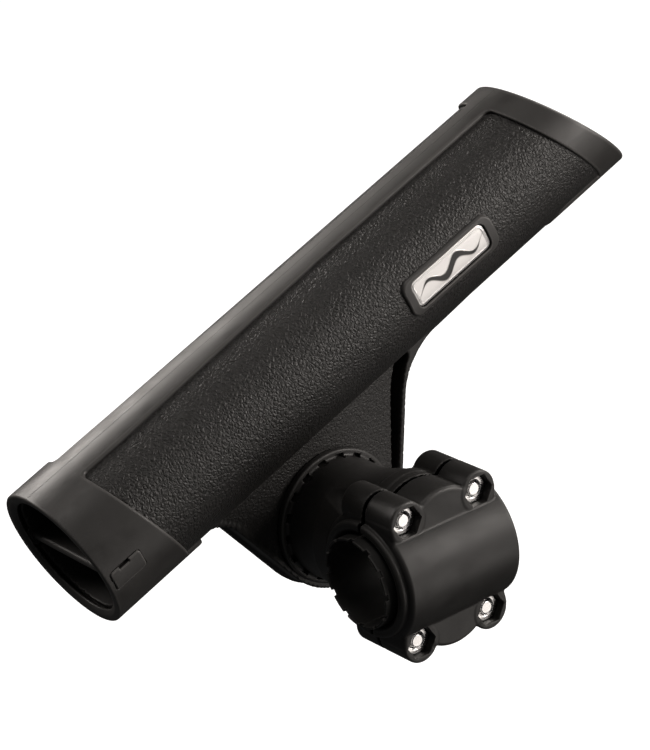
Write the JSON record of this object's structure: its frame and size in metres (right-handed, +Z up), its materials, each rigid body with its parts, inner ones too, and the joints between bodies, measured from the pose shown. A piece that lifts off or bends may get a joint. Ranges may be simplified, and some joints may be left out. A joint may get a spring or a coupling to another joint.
{
  "type": "fishing rod holder",
  "caption": "Tubular fishing rod holder with a slanted mouth, tilting on a toothed hub above a two-part bolted clamp for a round rail.",
  "frame": {"origin": "on the axis of the rail, in the middle of the clamp's length, which is also where the tilt axis crosses it", "axes": "+X along the rail, +Y along the tilt axis from the clamp to the holder, +Z up"},
  "size_m": [0.27, 0.1088, 0.1644],
  "materials": {
    "shell_plastic": "near-black moulded plastic with a fine leather grain",
    "elastomer": "smooth satin dark grey elastomer",
    "clamp_plastic": "smooth satin black glass-filled plastic",
    "liner_plastic": "plain black plastic",
    "stainless": "bright stainless steel",
    "badge_metal": "satin silver plate"
  },
  "bodies": {
    "clamp": {"clamp_arm": "clamp_plastic", "clamp_cap": "clamp_plastic", "liner_front": "liner_plastic", "liner_rear": "liner_plastic", "clamp_bolt_upper_left": "stainless", "clamp_bolt_upper_right": "stainless", "clamp_bolt_lower_left": "stainless", "clamp_bolt_lower_right": "stainless", "clamp_nut_upper_left": "stainless", "clamp_nut_upper_right": "stainless", "clamp_nut_lower_left": "stainless", "clamp_nut_lower_right": "stainless", "tilt_bolt": "stainless"},
    "holder": {"holder_body": "shell_plastic", "mouth_bumper": "elastomer", "butt_bumper": "elastomer", "top_spine": "elastomer", "gimbal_bar": "elastomer", "badge_frame_near": "elastomer", "badge_plate_near": "badge_metal", "badge_frame_far": "elastomer", "badge_plate_far": "badge_metal"},
    "washer": {"tilt_washer": "stainless"},
    "knob": {"lock_knob": "clamp_plastic", "knob_insert_nut": "stainless"}
  },
  "joints": [
    {"name": "holder_tilt", "type": "hinge", "parent": "clamp", "child": "holder", "pos_m": [0, 0, 0], "axis": [0, -1, 0], "continuous": true},
    {"name": "knob_travel", "type": "slide", "parent": "clamp", "child": "washer", "axis": [0, 1, 0], "range_m": [0, 0.00126]},
    {"name": "knob_turn", "type": "hinge", "parent": "washer", "child": "knob", "pos_m": [0, 0.0746, 0], "axis": [0, 1, 0], "range_deg": [0, 360]}
  ],
  "couplings": [
    {"joint": "knob_travel", "follows": "knob_turn", "m_per_rad": 0.000199}
  ]
}
